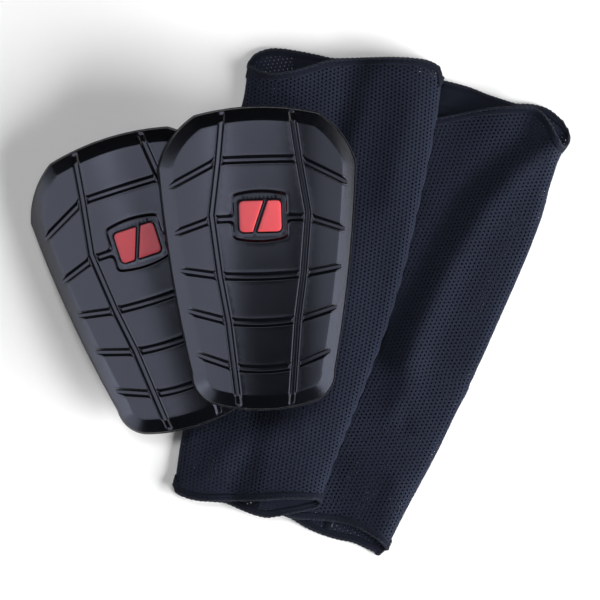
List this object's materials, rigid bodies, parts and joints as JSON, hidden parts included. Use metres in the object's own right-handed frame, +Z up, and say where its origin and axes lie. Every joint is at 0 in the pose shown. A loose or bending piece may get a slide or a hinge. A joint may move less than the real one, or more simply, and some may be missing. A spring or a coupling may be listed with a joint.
{
  "type": "shin guard",
  "caption": "Pair of curved slip-in shin guards with grooved moulded shells, laid on the pair of perforated compression sleeves that hold them.",
  "frame": {"origin": "centre of the bounding box in plan, on the table that the set lies on", "axes": "+X across both legs towards the right sleeve, +Y up the leg from ankle to knee, +Z up from the table out of the guards' front faces"},
  "size_m": [0.3242, 0.3068, 0.0431],
  "materials": {
    "guard_shell": "satin",
    "guard_foam": "matte",
    "guard_liner": "matte",
    "guard_badge": "matte",
    "sleeve_mesh": "matte",
    "sleeve_hem": "matte",
    "sleeve_thread": "matte",
    "pocket_lining": "matte"
  },
  "bodies": {
    "left_guard": {"left_guard_shell": "guard_shell", "left_guard_foam_core": "guard_foam", "left_guard_liner": "guard_liner", "left_guard_left_inlay": "guard_badge", "left_guard_right_inlay": "guard_badge"},
    "right_guard": {"right_guard_shell": "guard_shell", "right_guard_foam_core": "guard_foam", "right_guard_liner": "guard_liner", "right_guard_left_inlay": "guard_badge", "right_guard_right_inlay": "guard_badge"},
    "left_sleeve": {"left_sleeve_tube": "sleeve_mesh", "left_sleeve_top_hem": "sleeve_hem", "left_sleeve_ankle_hem": "sleeve_hem", "left_sleeve_top_overlock": "sleeve_thread", "left_sleeve_ankle_overlock": "sleeve_thread", "left_sleeve_back_seam": "sleeve_thread", "left_sleeve_pocket_panel": "pocket_lining"},
    "right_sleeve": {"right_sleeve_tube": "sleeve_mesh", "right_sleeve_top_hem": "sleeve_hem", "right_sleeve_ankle_hem": "sleeve_hem", "right_sleeve_top_overlock": "sleeve_thread", "right_sleeve_ankle_overlock": "sleeve_thread", "right_sleeve_back_seam": "sleeve_thread", "right_sleeve_pocket_panel": "pocket_lining"}
  },
  "joints": [
    {"name": "left_sleeve_lift", "type": "slide", "parent": "right_sleeve", "child": "left_sleeve", "axis": [0, 0, 1], "range_m": [0, 0.12]},
    {"name": "left_guard_lift", "type": "slide", "parent": "left_sleeve", "child": "left_guard", "axis": [0, 0, 1], "range_m": [0, 0.12]},
    {"name": "right_guard_lift", "type": "slide", "parent": "left_guard", "child": "right_guard", "axis": [0, 0, 1], "range_m": [0, 0.12]}
  ]
}
